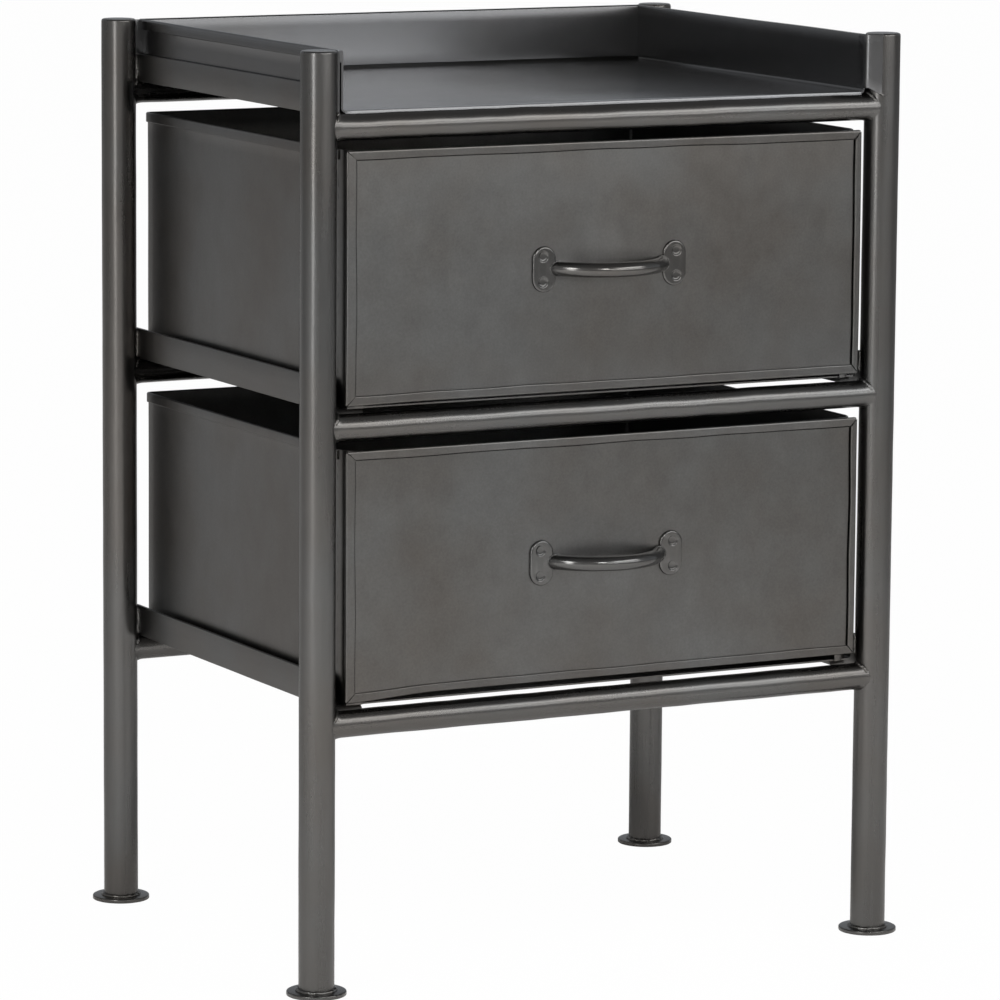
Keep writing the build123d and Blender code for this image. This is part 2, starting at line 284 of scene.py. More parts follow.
def turned(profile, centre, up=Z, uneven=0.0, seed=0):
    """Shell of a (radius, height) profile turned about an axis."""
    centre, across = Vector(centre), up.orthogonal().normalized()
    beside = up.cross(across)
    rings = []
    for radius, height in profile:
        ring = []
        for i in range(ROUND_STEPS):
            turn = 2 * pi * i / ROUND_STEPS
            out = across * cos(turn) + beside * sin(turn)
            place = centre + up * height + out * radius
            ring.append(place + out * uneven * noise.noise(place / RIM_LUMP_SIZE + X * seed))
        rings.append(ring)
    return skin(rings)


def from_bmesh(made):
    """Points and faces of a bmesh, which is freed."""
    made.verts.index_update()
    points = [vert.co.copy() for vert in made.verts]
    faces = [tuple(vert.index for vert in face.verts) for face in made.faces]
    made.free()
    return points, faces


def rounded_block(low, high, radius):
    """Box between two corners with all its edges rounded."""
    made = bmesh.new()
    bmesh.ops.create_cube(made, size=1)
    for vert in made.verts:
        vert.co = [a + (b - a) * (c + 0.5) for a, b, c in zip(low, high, vert.co)]
    bmesh.ops.bevel(
        made, geom=made.edges[:], offset=radius, segments=3, profile=0.5, affect="EDGES"
    )
    return from_bmesh(made)


def jostled(shell, dents, seed):
    """Shell with soft dents, each point moved by smooth noise of a given depth and size."""
    points, faces = shell
    depth, size = dents
    shift = NOISE_SHIFT * seed
    return [p + noise.noise_vector(p / size + shift) * depth for p in points], faces


def bead(path, radius, seed, closed=False):
    """Lumpy weld along (point, outward direction) pairs."""
    rings, run = [], 0.0
    last = len(path) - 1
    for i, (point, out) in enumerate(path):
        before = path[i - 1][0] if closed or i else point
        after = path[(i + 1) % len(path)][0] if closed or i < last else point
        along = (after - before).normalized()
        beside = along.cross(out).normalized()
        out = beside.cross(along)
        run += (after - before).length / 2
        ends = 1.0 if closed else max(BEAD_TIP, 1 - abs(2 * i / last - 1) ** 6) ** 0.5
        ripple = 1 + BEAD_RIPPLE_RISE * abs(sin(pi * run / BEAD_RIPPLE))
        ring = []
        for s in range(BEAD_SIDES):
            turn = 2 * pi * s / BEAD_SIDES
            aim = out * cos(turn) + beside * sin(turn)
            lump = 1 + BEAD_LUMP * noise.noise((point + aim * radius) / BEAD_LUMP_SIZE + X * seed)
            ring.append(point + aim * radius * ends * ripple * lump)
        rings.append(ring)
    return skin(rings, closed)


def piece(name, shells, material, body, slot, *nodes):
    """One object made of closed shells, riding on a body and standing for CAD nodes."""
    points, faces = [], []
    for shell_points, shell_faces in shells:
        first = len(points)
        points += [tuple(point) for point in shell_points]
        faces += [[first + i for i in face] for face in shell_faces]
    mesh = bpy.data.meshes.new(name)
    mesh.from_pydata(points, [], faces)
    made = bmesh.new()
    made.from_mesh(mesh)
    bmesh.ops.recalc_face_normals(made, faces=made.faces[:])
    made.to_mesh(mesh)
    made.free()
    mesh.shade_smooth()
    mesh.set_sharp_from_angle(angle=CREASE_ANGLE)
    mesh.materials.append(material)
    made_object = bpy.data.objects.new(name, mesh)
    bpy.context.scene.collection.objects.link(made_object)
    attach(made_object, body)
    if nodes:
        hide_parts(*nodes)
    return made_object


def middle_of(node):
    """Middle of a CAD node's box."""
    low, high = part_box(node)
    return (low + high) / 2


def feed(tree, socket, value):
    """Link another node's socket to an input, or set the input to a plain value."""
    if isinstance(value, bpy.types.NodeSocket):
        tree.links.new(value, socket)
    else:
        socket.default_value = value


def add(tree, kind, **inputs):
    """New shader node; inputs are values or sockets to link, with _ for a space in a name."""
    made = tree.nodes.new(kind)
    for key, value in inputs.items():
        feed(tree, made.inputs[key.replace("_", " ")], value)
    return made


def cloud(tree, place, size, detail, roughness=0.55):
    """Soft noise value whose features are about the given size."""
    return add(
        tree, "ShaderNodeTexNoise", Vector=place, Scale=1 / size, Detail=detail, Roughness=roughness
    ).outputs[0]


def spread(tree, value, low, high, to_low, to_high):
    """Value stretched from one range to another and kept inside it."""
    ranges = {"From_Min": low, "From_Max": high, "To_Min": to_low, "To_Max": to_high}
    return add(tree, "ShaderNodeMapRange", Value=value, **ranges).outputs[0]


def combined(tree, operation, first, second):
    """Two values added, subtracted, multiplied or raised to a power."""
    made = tree.nodes.new("ShaderNodeMath")
    made.operation = operation
    for socket, value in zip(made.inputs, (first, second)):
        feed(tree, socket, value)
    return made.outputs[0]


def mixed(tree, factor, first, second):
    """Colour between two colours."""
    made = tree.nodes.new("ShaderNodeMix")
    made.data_type = "RGBA"
    # A mix node holds inputs and outputs for every type; these are the ones for colours
    factor_input, first_input, second_input, colour_output = 0, 6, 7, 2
    feed(tree, made.inputs[factor_input], factor)
    feed(tree, made.inputs[first_input], first)
    feed(tree, made.inputs[second_input], second)
    return made.outputs[colour_output]


def steel(name, grey, brown, roughness, grain, mottling, speckle, relief, polish=0.0, wear=0.5):
    """Dark lacquered steel: broad blotches, mottling, fine speckle, grain and rubbed edges.

    Grain stretches the mottling along one axis, as drawn tube and rolled bar show it. Polish takes
    roughness off the faces that look up, where things are set down. Wear lightens sharp edges.
    """
    material = bpy.data.materials.new(name)
    material.use_nodes = True
    tree = material.node_tree
    shader = tree.nodes["Principled BSDF"]
    place = add(tree, "ShaderNodeTexCoord").outputs["Object"]
    stretched = add(tree, "ShaderNodeMapping", Vector=place, Scale=grain).outputs[0]
    blotch = spread(tree, cloud(tree, place, BLOTCH_SIZE, 3), *BLOTCH_RANGE, 0, 1)
    mottle = cloud(tree, stretched, MOTTLE_SIZE, 4)
    speck = cloud(tree, place, SPECK_SIZE, 2, 0.6)
    surface = add(tree, "ShaderNodeNewGeometry").outputs
    edge = spread(tree, surface["Pointiness"], *EDGE_RANGE, 0, 1)
    worn = combined(tree, "MULTIPLY", edge, spread(tree, mottle, *WEAR_RANGE, 0.3, 1))
    colour = mixed(tree, blotch, (*grey, 1), (*brown, 1))
    mottled = spread(tree, mottle, *NOISE_RANGE, 1 - mottling, 1 + mottling)
    speckled = spread(tree, speck, *NOISE_RANGE, 1 - speckle, 1 + speckle)
    shade = combined(tree, "MULTIPLY", mottled, speckled)
    shade = combined(tree, "MULTIPLY", shade, spread(tree, worn, 0, 1, 1, 1 + wear))
    scaled = tree.nodes.new("ShaderNodeVectorMath")
    scaled.operation = "SCALE"
    feed(tree, scaled.inputs[0], colour)
    feed(tree, scaled.inputs["Scale"], shade)
    drift, fine = 0.2 * mottling, 0.1 * speckle
    matt = combined(tree, "ADD", spread(tree, mottle, *NOISE_RANGE, -drift, drift), roughness)
    matt = combined(tree, "ADD", matt, spread(tree, speck, *NOISE_RANGE, -fine, fine))
    facing_up = add(tree, "ShaderNodeSeparateXYZ", Vector=surface["Normal"]).outputs["Z"]
    matt = combined(tree, "SUBTRACT", matt, spread(tree, facing_up, *UPWARD_RANGE, 0, polish))
    height = combined(tree, "ADD", speck, combined(tree, "MULTIPLY", mottle, 1.5))
    bump = add(tree, "ShaderNodeBump", Height=height, Strength=relief, Distance=BUMP_DISTANCE)
    feed(tree, shader.inputs["Base Color"], scaled.outputs[0])
    feed(tree, shader.inputs["Roughness"], matt)
    feed(tree, shader.inputs["Normal"], bump.outputs[0])
    feed(tree, shader.inputs["Metallic"], 1.0)
    feed(tree, shader.inputs["Coat Weight"], COAT_WEIGHT)
    feed(tree, shader.inputs["Coat Roughness"], COAT_ROUGHNESS)
    return material


# Each steel's own pair of colours, between which it is blotched, and a near-black pair for painted shade
BAR_COLOURS = (0.136, 0.136, 0.134), (0.130, 0.123, 0.116)
TRAY_COLOURS = (0.146, 0.148, 0.153), (0.141, 0.141, 0.142)
SHEET_COLOURS = (0.147, 0.147, 0.145), (0.124, 0.116, 0.108)
WELD_COLOURS = (0.166, 0.165, 0.162), (0.142, 0.134, 0.124)
# Near-black: painted shade, for the strip in the tray's back fold and the lines along the drawer fronts'
# hems
SHADE_STRIP_COLOURS = (0.012, 0.012, 0.012), (0.008, 0.008, 0.007)

TUBE_STEEL = steel(
    "tube_steel", *BAR_COLOURS, roughness=0.28, grain=(1, 1, 0.06),
    mottling=0.13, speckle=0.02, relief=0.01, wear=0,
)
RAIL_STEEL = steel(
    "rail_steel", *BAR_COLOURS, roughness=0.27, grain=(0.06, 1, 1),
    mottling=0.08, speckle=0.02, relief=0.005, wear=0,
)
ANGLE_STEEL = steel(
    "angle_steel", *BAR_COLOURS, roughness=0.34, grain=(1, 0.2, 1),
    mottling=0.1, speckle=0.05, relief=0.05,
)
TRAY_STEEL = steel(
    "tray_steel", *TRAY_COLOURS, roughness=0.25, grain=PLAIN_GRAIN,
    mottling=0.04, speckle=0.03, relief=0.01, polish=0.09,
)
DRAWER_STEEL = steel(
    "drawer_steel", *SHEET_COLOURS, roughness=0.34, grain=(1, 1, 0.6),
    mottling=0.07, speckle=0.08, relief=0.06,
)
FRONT_STEEL = steel(
    "front_steel", *SHEET_COLOURS, roughness=0.33, grain=(1, 1, 0.8),
    mottling=0.07, speckle=0.08, relief=0.06,
)
HANDLE_STEEL = steel(
    "handle_steel", *BAR_COLOURS, roughness=0.19, grain=PLAIN_GRAIN,
    mottling=0.04, speckle=0.03, relief=0.02,
)
WELD_STEEL = steel(
    "weld_steel", *WELD_COLOURS, roughness=0.3, grain=PLAIN_GRAIN,
    mottling=0.12, speckle=0.15, relief=0.3,
)
# Painted shade: a near-black material for strips set where folds and hems lie in shadow
SHADE_STRIP_STEEL = steel(
    "painted_shade_steel", *SHADE_STRIP_COLOURS, roughness=0.7, grain=(0.2, 1, 1),
    mottling=0.25, speckle=0.3, relief=0.2,
)


def circle(radius):
    """Points of a full circle, the first one not repeated."""
    return arc((0, 0), radius, 0, 360 - 360 / ROUND_STEPS, ROUND_STEPS - 1)


def tube(start, stop, across, up, radius, seed, trim=None):
    """Hollow round tube, slightly uneven outside."""
    outer = carried(circle(radius), start, stop, across, up, TUBE_STEP, trim)
    length = (Vector(stop) - Vector(start)).length
    bore = carried(circle(radius - TUBE_WALL), start, stop, across, up, length, trim)
    return jostled(skin(outer + bore[::-1], closed=True), TUBE_DENTS, seed)


def leg(name, seed):
    """Upright tube from its foot to its cap."""
    low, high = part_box(name)
    radius = (high.x - low.x) / 2
    centre = (low + high) / 2
    ends = [(centre.x, centre.y, low.z), (centre.x, centre.y, high.z)]
    piece(f"{name}_visual", [tube(*ends, X, Y, radius, seed)], TUBE_STEEL, "frame", "tube_steel", name)


def leg_cap(name, seed):
    """Disc let into the leg's top: narrow seam, rounded rim, slightly crowned face."""
    low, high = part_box(name)
    radius, thick = (high.x - low.x) / 2, high.z - low.z
    seam, seam_height, rim, crown, slack = 0.1 * MM, 0.2 * MM, 1.6 * MM, 0.1 * MM, 0.1 * MM
    profile = [(radius / 2, 0), (radius - seam, 0), (radius - slack, seam_height)]
    profile += arc((radius - slack - rim, thick - crown - rim), rim, 0, 84, 9)
    profile += [(radius * 0.6, thick - crown / 2), (radius * 0.2, thick)]
    centre = middle_of(name) - Z * thick / 2
    shell = turned(profile, centre, uneven=slack, seed=seed)
    piece(f"{name}_visual", [shell], TUBE_STEEL, "frame", "tube_steel", name)


def foot(name, leg_radius, seed):
    """Flat disc with rounded rims and the lumpy weld that joins it to its leg."""
    low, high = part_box(name)
    radius, thick = (high.x - low.x) / 2, high.z - low.z
    slack, under_round, upper_round = 0.15 * MM, 0.5 * MM, 1 * MM
    outer = radius - slack
    profile = [(outer / 3, 0)] + arc((outer - under_round, under_round), under_round, -90, 0, 3)
    profile += arc((outer - upper_round, thick - upper_round), upper_round, 0, 90, 5)
    profile += [(outer / 2, thick)]
    base = middle_of(name) - Z * thick / 2
    shell = turned(profile, base, uneven=slack, seed=seed)
    piece(f"{name}_visual", [shell], TUBE_STEEL, "frame", "tube_steel", name)
    path = []
    count, stand_off = 110, 0.3 * MM
    for i in range(count):
        turn = 2 * pi * i / count
        out = X * cos(turn) + Y * sin(turn)
        spot = base + Z * (thick + stand_off) + out * (leg_radius + stand_off)
        path.append((spot, (out + Z).normalized()))
    ring = bead(path, FOOT_BEAD, seed, closed=True)
    piece(f"{name}_weld", [ring], WELD_STEEL, "frame", "tube_steel")


def rail(name, leg_left, leg_right, leg_radius, seed):
    """Round tube coped to two legs; each end swells into a smooth weld that is lumpy on top."""
    low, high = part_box(name)
    radius = (high.z - low.z) / 2
    middle = (low + high) / 2
    post = leg_radius + COPE_GAP
    first, length = leg_left.x, leg_right.x - leg_left.x
    end_rings, spacing = 7, 1.3
    near = [(0, WELD_REACH * (i / end_rings) ** spacing) for i in range(end_rings)]
    runs = ceil((length - 2 * post) / TUBE_STEP)
    stations = near + [(i / runs, WELD_REACH) for i in range(runs + 1)]
    stations += [(1, reach) for _, reach in near[::-1]]

    # Lumps are larger on top, and differ from end to end
    lump_size, lumps_around, other_end = 2 * MM, 4, 30

    def ring(size, share, reach, swell):
        points = []
        fade = (1 - reach / WELD_REACH) * swell
        for i in range(ROUND_STEPS):
            turn = 2 * pi * i / ROUND_STEPS
            which_lump = other_end * share + reach / lump_size
            spot = Vector((which_lump, lumps_around * cos(turn), lumps_around * sin(turn)))
            lump = noise.noise(spot + X * seed) * (0.3 + 0.7 * max(0, sin(turn)))
            around = size + WELD_SWELL * fade**2 + WELD_LUMP * fade * lump
            beside, up = around * cos(turn), around * sin(turn)
            short = sqrt(max(0, post**2 - beside**2)) + reach
            along = first + short + (length - 2 * short) * share
            points.append(Vector((along, middle.y + beside, middle.z + up)))
        return points

    outer = [ring(radius, share, reach, 1) for share, reach in stations]
    bore = [ring(radius - TUBE_WALL, share, reach, 0) for share, reach in (stations[0], stations[-1])]
    shell = jostled(skin(outer + bore[::-1], closed=True), RAIL_DENTS, seed)
    piece(f"{name}_visual", [shell], RAIL_STEEL, "frame", "tube_steel", name)
    beads = []
    count, start, sweep = 40, 20, 140
    stand_off, leg_gap = 0.2 * MM, 0.8 * MM
    for share, side in ((0, 1), (1, -1)):
        path = []
        for i in range(count):
            turn = radians(start + sweep * i / (count - 1))
            out = Y * cos(turn) + Z * sin(turn)
            spot = middle + out * (radius + stand_off)
            short = sqrt(post**2 - (spot.y - middle.y) ** 2) + leg_gap
            spot.x = first + length * share + side * short
            path.append((spot, (out + X * side).normalized()))
        beads.append(bead(path, RAIL_BEAD, seed + side))
    piece(f"{name}_welds", beads, WELD_STEEL, "frame", "tube_steel")


def angle_bar(name, side, seed, trim=None):
    """Rolled L bar: sharp heel, rounded toes and an inside fillet."""
    low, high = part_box(name)
    width, height, thick = high.x - low.x, high.z - low.z, ANGLE_THICKNESS
    heel_round, back_round, toe_round, inside_round = 0.6 * MM, 0.7 * MM, 1.4 * MM, 3 * MM
    corners = [(0, 0, heel_round), (0, height, back_round), (thick, height, toe_round)]
    corners += [(thick, thick, inside_round), (width, thick, toe_round), (width, 0, back_round)]
    heel = high.x if side > 0 else low.x
    start, stop = (heel, low.y, low.z), (heel, high.y, low.z)
    rings = carried(rounded(corners), start, stop, X * -side, Z, SHEET_STEP, trim)
    return jostled(skin(rings), ANGLE_DENTS, seed)


def end_welds(name, side, seed):
    """Upright beads in the narrow gap between a bar's outer face and the legs at its ends."""
    low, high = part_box(name)
    beads = []
    heel = high.x if side > 0 else low.x
    count, margin, stand_off, inset = 26, 1 * MM, 0.5 * MM, 5 * MM
    for end_y, inwards in ((low.y, 1), (high.y, -1)):
        path = []
        for i in range(count):
            z = low.z + margin + (high.z - low.z - 2 * margin) * i / (count - 1)
            point = Vector((heel + side * stand_off, end_y + inwards * inset, z))
            path.append((point, (Y * inwards + X * side * 0.5).normalized()))
        beads.append(bead(path, ANGLE_BEAD, seed + inwards))
    piece(f"{name}_welds", beads, WELD_STEEL, "frame", "angle_steel")


def runner(name, side, seed):
    """L bar with a turned-up stop at the rear and a front end cut on a slant."""
    low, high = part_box(name)
    slack, stop_round = 0.1 * MM, 0.8 * MM
    stop_low = Vector((low.x, high.y - ANGLE_THICKNESS, low.z + slack))
    stop_high = Vector((high.x, high.y, low.z + ANGLE_THICKNESS + STOP_HEIGHT))
    inset = X * slack
    stop = rounded_block(stop_low + inset, stop_high - inset, stop_round)

    def slanted(_, v):
        return RUNNER_SLANT * v + (1 - RUNNER_SLANT) * min(v, ANGLE_THICKNESS), 0

    shells = [angle_bar(name, side, seed, slanted), stop]
    piece(f"{name}_visual", shells, ANGLE_STEEL, "frame", "angle_steel", name)
    end_welds(name, side, seed)


def tray_support(name, side, rail_name, seed):
    """L bar whose ends are notched round the top rails."""
    rail_low, rail_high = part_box(rail_name)
    rail_radius = (rail_high.z - rail_low.z) / 2 + COPE_GAP
    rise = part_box(name)[0].z - (rail_low.z + rail_high.z) / 2

    def notch(_, v):
        depth = sqrt(max(0, rail_radius**2 - (rise + v) ** 2))
        return depth, depth

    piece(
        f"{name}_visual", [angle_bar(name, side, seed, notch)], ANGLE_STEEL, "frame", "angle_steel", name
    )
    end_welds(name, side, seed)


def folded_rim(inner, sheet, top, hem):
    """Outline over a rim folded outwards, from the wall's inner face to its outer face."""
    outer = inner + sheet
    low, toe = top - hem, 0.3 * sheet
    over = arc((outer, top - sheet), sheet, 180, 0, 8)
    leaf = [(outer + sheet, low + toe), (outer + sheet - toe, low), (outer + 0.2 * sheet, low)]
    return over + leaf + [(outer + 0.04 * sheet, low + 0.4 * sheet), (outer, low + 0.2 * sheet)]


def top_tray():
    """Folded sheet: floor and back wall in one strip, two side walls, bent-out front ends, and a
    near-black strip painted as the shade in the fold at the back.
    """
    low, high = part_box("top_tray")
    support_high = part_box("right_tray_support")[1]
    leg_middle = middle_of("front_right_leg")
    leg_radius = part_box("front_right_leg")[1].x - leg_middle.x
    half = support_high.x - ANGLE_THICKNESS - TRAY_FIT
    front, rear = leg_middle.y - TRAY_OVERHANG, high.y - TRAY_SHEET
    sheet, fold, base, top = TRAY_SHEET, TRAY_FOLD, low.z, high.z - RIM_ROOM
    floor, wall = base + sheet, rear - sheet
    lip = front - LIP_FACE * tan(LIP_SLOPE)
    lip_round, edge_round, seam_round, lip_back = 0.8 * MM, 0.3 * MM, 0.7 * MM, 4 * MM
    strip = [(front + lip_back, base)]
    strip += arc((lip + lip_round, floor - LIP_FACE), lip_round, 250, 168, 6)
    strip += arc((front + edge_round, floor - edge_round), edge_round, 168, 90, 3)
    strip += [(wall + SEAM_DEPTH, floor), (wall + SEAM_DEPTH, floor + SEAM_HEIGHT)]
    strip += arc((wall + seam_round, floor + SEAM_HEIGHT + seam_round), seam_round, 270, 180, 4)
    strip += folded_rim(wall, sheet, top, TRAY_HEM)
    strip += arc((wall - fold, floor + fold), fold + sheet, 0, -90, 6)
    strip = subdivided(strip, SHEET_STEP)
    rings = carried(strip, (-half, 0, 0), (half, 0, 0), Y, Z, LIP_STEP)
    for ring in rings:
        past = max(0, abs(ring[0].x) - half + LIP_CORNER)
        back = LIP_CORNER - sqrt(max(0, LIP_CORNER**2 - past**2))
        for i, point in enumerate(ring):
            if point.y < front + LIP_CORNER:
                ring[i] = point + Y * back * (1 - max(0, point.y - front) / LIP_CORNER)
    shells = [skin(rings)]
    inner = half - sheet
    bend = (inner - fold, floor + fold)
    tuck = 0.1 * MM
    section = [(bend[0] - 2 * tuck, floor - tuck)] + arc(bend, fold, -90, 0, 5)
    section += folded_rim(inner, sheet, top, TRAY_HEM) + arc(bend, fold + sheet - tuck, 0, -90, 6)
    section = subdivided(section, SHEET_STEP)
    ear_low, ear_high = support_high.z - 0.5 * MM, top - 0.4 * MM
    ear_width, ear_round, wall_lead = 6 * MM, 0.5 * MM, 2.5 * MM
    for side in SIDES.values():
        ends = [(0, leg_middle.y - wall_lead, 0), (0, rear - tuck, 0)]
        shells.append(skin(carried(section, *ends, X * side, Z, SHEET_STEP)))
        ear = sorted((side * inner, side * (half + ear_width)))
        ear_box = (ear[0], rear - sheet, ear_low), (ear[1], rear, ear_high)
        shells.append(rounded_block(*ear_box, ear_round))
        shells.append(wall_return(side, half, leg_middle, leg_radius, floor, top))
    seed = 11
    shells = [jostled(shell, TRAY_DENTS, seed) for shell in shells]
    piece("top_tray_visual", shells, TRAY_STEEL, "frame", "tray_steel", "top_tray")
    # A near-black strip in the floor's fold at the back wall: painted shade
    shade_base, shade_top = floor - 0.3 * MM, floor + SEAM_HEIGHT
    shade_back = wall + SEAM_DEPTH + 0.2 * MM
    shadow = [(wall + 0.4 * MM, shade_base), (shade_back, shade_base)]
    shadow += [(shade_back, shade_top), (wall + 0.6 * MM, shade_top)]
    seam = skin(carried(shadow, (-inner, 0, 0), (inner, 0, 0), Y, Z, SHEET_STEP))
    piece("top_tray_painted_shade", [jostled(seam, TRAY_DENTS, seed)], SHADE_STRIP_STEEL, "frame", "tray_steel")


def wall_return(side, half, leg_middle, leg_radius, floor, top):
    """Front end of a tray wall, bent out to lie along the front leg."""
    sheet, angle = TRAY_SHEET, RETURN_ANGLES[side]
    away = leg_radius + TRAY_FIT + sheet / 2
    wall_x = half - sheet / 2
    lean = Vector((side * sin(angle), -cos(angle), 0))
    start = (wall_x - leg_middle.x + away * cos(angle)) / sin(angle)
    turn_x = leg_middle.x - away * cos(angle) + start * sin(angle)
    turn_y = leg_middle.y - away * sin(angle) - start * cos(angle)
    turn = Vector((side * turn_x, turn_y, 0))
    edge_round = 0.6 * MM
    corners = [(-sheet / 2, 0, edge_round), (sheet / 2, 0, edge_round)]
    corners += [(sheet / 2, top - floor, edge_round), (-sheet / 2, top - floor, edge_round)]
    section = subdivided(rounded(corners), SHEET_STEP)
    out = Vector((-lean.y, lean.x, 0)) * side
    reach, round_off = 9 * MM, 2.5 * MM
    path = []
    for t in range(4):
        path.append((turn + Y * (reach + (round_off - reach) * t / 3), X * side, 0))
    for t in (0.25, 0.5, 0.75):
        ahead = Vector((side * sin(angle * t), -cos(angle * t), 0))
        curve = (turn + Y * round_off) * (1 - t) ** 2 + turn * 2 * t * (1 - t)
        curve += (turn + lean * round_off) * t**2
        path.append((curve, Vector((-ahead.y, ahead.x, 0)) * side, 0))
    for t in range(4):
        path.append((turn + lean * (round_off + (RETURN_WIDTH - round_off) * t / 3), out, t / 3))
    rings = []
    inner_low, outer_low = 2.5 * MM, -2.5 * MM
    for spot, across, share in path:
        low = floor + inner_low + (outer_low - inner_low) * share
        scale = (top - low) / (top - floor)
        rings.append([spot + across * u + Z * (low + v * scale) for u, v in section])
    return skin(rings)


def front_warp(seed, rise, bow, handle_z):
    """Uneven sheet: soft dents, a bulge at the handle, a bow, and a lower edge drawn up on the right."""
    depth, size = FRONT_DENTS

    def warp(point, low, high):
        up = (point.z - low.z) / (high.z - low.z)
        ramp = min(1, max(0, (point.x - low.x) / LIFT_RAMP))
        ramp = ramp * ramp * (3 - 2 * ramp)
        lift = rise * ramp * max(0, 1 - up * 2.5) ** 2
        dent = noise.noise(point / size + X * seed) * depth
        aside, above = point.x / HANDLE_BULGE_WIDTH, (point.z - handle_z) / HANDLE_BULGE_HEIGHT
        bulge = HANDLE_BULGE * exp(-(aside**2) - above**2)
        dent += bow * (2 * up - 1) ** 2 - bulge
        return point + Z * lift + Y * dent

    return warp


def hem_section(width, lift):
    """Outline of a hem folded to the front: round fold, flat leaf and rounded loose edge."""
    sheet, ease = DRAWER_SHEET, 0.3 * MM
    fold, toe, face = sheet + HEM_BULGE / 2, HEM_TOE, 2 * sheet + lift
    section = arc((fold, fold), fold, 270, 90, 16)
    section += [(fold + ease, 2 * fold), (width - toe - ease, face)]
    section += arc((width - toe, face - toe), toe, 90, 0, 6)
    section += [(width - 0.1 * MM, face - sheet + 0.2 * MM), (width - ease, face - sheet)]
    section += [(sheet + 0.2 * MM, sheet + 0.05 * MM), (sheet + ease, 0.25 * MM)]
    return section


def shade_line_section(width):
    """Outline of a near-black line painted as the shade along a hem's loose edge, just proud of the
    field.
    """
    low, high = DRAWER_SHEET - 0.3 * MM, DRAWER_SHEET + 0.15 * MM
    near, far = width - 0.4 * MM, width + SHADE_LINE_WIDTH
    return [(near, low), (near, high), (far, high), (far, low)]


def drawer_front(name, body, seed, rise, bow):
    """Sheet field with four hems folded to the front, mitred in slightly rounded corners, with near-black
    lines painted as the shade along the loose edges of all but the bottom hem.
    """
    low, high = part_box(name)
    sheet, back = DRAWER_SHEET, high.y
    inset = 2 * MM
    field = [(0, low.z + inset), (sheet, low.z + inset), (sheet, high.z - inset), (0, high.z - inset)]
    ends = [(low.x + inset, back, 0), (high.x - inset, back, 0)]
    shells = [skin(carried(subdivided(field, SHEET_STEP), *ends, -Y, Z, SHEET_STEP))]
    corner_round, shade_lines = 2 * MM, []
    edges = {
        "bottom": ((low.x, back, low.z), (high.x, back, low.z), Z, "left", "right"),
        "top": ((low.x, back, high.z), (high.x, back, high.z), -Z, "left", "right"),
        "left": ((low.x, back, low.z), (low.x, back, high.z), X, "bottom", "top"),
        "right": ((high.x, back, low.z), (high.x, back, high.z), -X, "bottom", "top"),
    }
    for edge, (start, stop, inwards, at_start, at_stop) in edges.items():
        width, lift = FRONT_HEMS[edge]
        slopes = [FRONT_HEMS[neighbour][0] / width for neighbour in (at_start, at_stop)]

        def mitre(u, _):
            curve = corner_round - sqrt(max(0, corner_round**2 - max(0, corner_round - u) ** 2))
            return [max(u * slope, curve) + MITRE_GAP / 2 for slope in slopes]

        outlines = [(hem_section(width, lift), shells)]
        if edge != "bottom":
            outlines.append((shade_line_section(width), shade_lines))
        for outline, made in outlines:
            rings = carried(outline, start, stop, inwards, -Y, SHEET_STEP, mitre)
            for ring in rings:
                for i, (u, _) in enumerate(outline):
                    if u > width / 2:
                        ring[i] = ring[i] + inwards * noise.noise(ring[i] / HEM_WAVE_SIZE) * HEM_WAVE
            made.append(skin(rings))
    warp = front_warp(seed, rise, bow, middle_of(f"{body}_handle").z)
    for made in (shells, shade_lines):
        made[:] = [([warp(p, low, high) for p in points], faces) for points, faces in made]
    piece(f"{name}_visual", shells, FRONT_STEEL, body, "front_steel", name)
    # Near-black lines along the hems' loose edges: painted shade
    piece(f"{name}_creases", shade_lines, SHADE_STRIP_STEEL, body, "front_steel")


def drawer_body(name, body, seed):
    """Sides and back bent from one strip with a folded rim; rounded front corners and flanges."""
    low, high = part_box(name)
    sheet = DRAWER_SHEET
    half, rear = high.x - sheet, high.y - sheet
    base, top = low.z, high.z
    section = [(-sheet, base)] + folded_rim(-sheet, sheet, top, DRAWER_HEM) + [(0, base)]
    section = subdivided(section, SHEET_STEP)
    turn = DRAWER_BEND + sheet
    front = low.y + FRONT_BEND
    frames = []
    runs = ceil((rear - turn - front) / SHEET_STEP)
    for i in range(runs):
        frames.append((Vector((-half, front + (rear - turn - front) * i / runs, 0)), -X, Z))
    rear_steps, front_steps = 6, 8
    for i in range(rear_steps + 1):
        swing = pi / 2 * i / rear_steps
        out = -X * cos(swing) + Y * sin(swing)
        frames.append((Vector((turn - half, rear - turn, 0)) + out * turn, out, Z))
    runs = ceil((half - turn) / SHEET_STEP)
    for i in range(1, runs + 1):
        frames.append((Vector(((turn - half) * (1 - i / runs), rear, 0)), Y, Z))
    shells = [bent(section, frames + mirrored(frames[:-1])[::-1])]
    base_round, top_round, overlap = 0.2 * MM, 0.4 * MM, 2 * MM
    corners = [(-sheet, base, base_round), (0, base, base_round)]
    corners += [(0, top, top_round), (-sheet, top, top_round)]
    leaf = subdivided(rounded(corners), SHEET_STEP)
    frames = [(Vector((-half, front + overlap, 0)), -X, Z)]
    centre = Vector((FRONT_BEND - half, front, 0))
    for i in range(front_steps + 1):
        swing = pi / 2 * i / front_steps
        out = -X * cos(swing) - Y * sin(swing)
        frames.append((centre + out * FRONT_BEND, out, Z))
    frames.append((Vector((DRAWER_FLANGE + sheet - half, low.y, 0)), -Y, Z))
    shells += [bent(leaf, frames), bent(leaf, mirrored(frames))]
    shells = [jostled(shell, BODY_DENTS, seed) for shell in shells]
    piece(f"{name}_visual", shells, DRAWER_STEEL, body, "drawer_steel", name)


def mirrored(frames):
    """Frames of a path on the other side of the YZ plane."""
    return [(Vector((-o.x, o.y, o.z)), Vector((-a.x, a.y, a.z)), up) for o, a, up in frames]


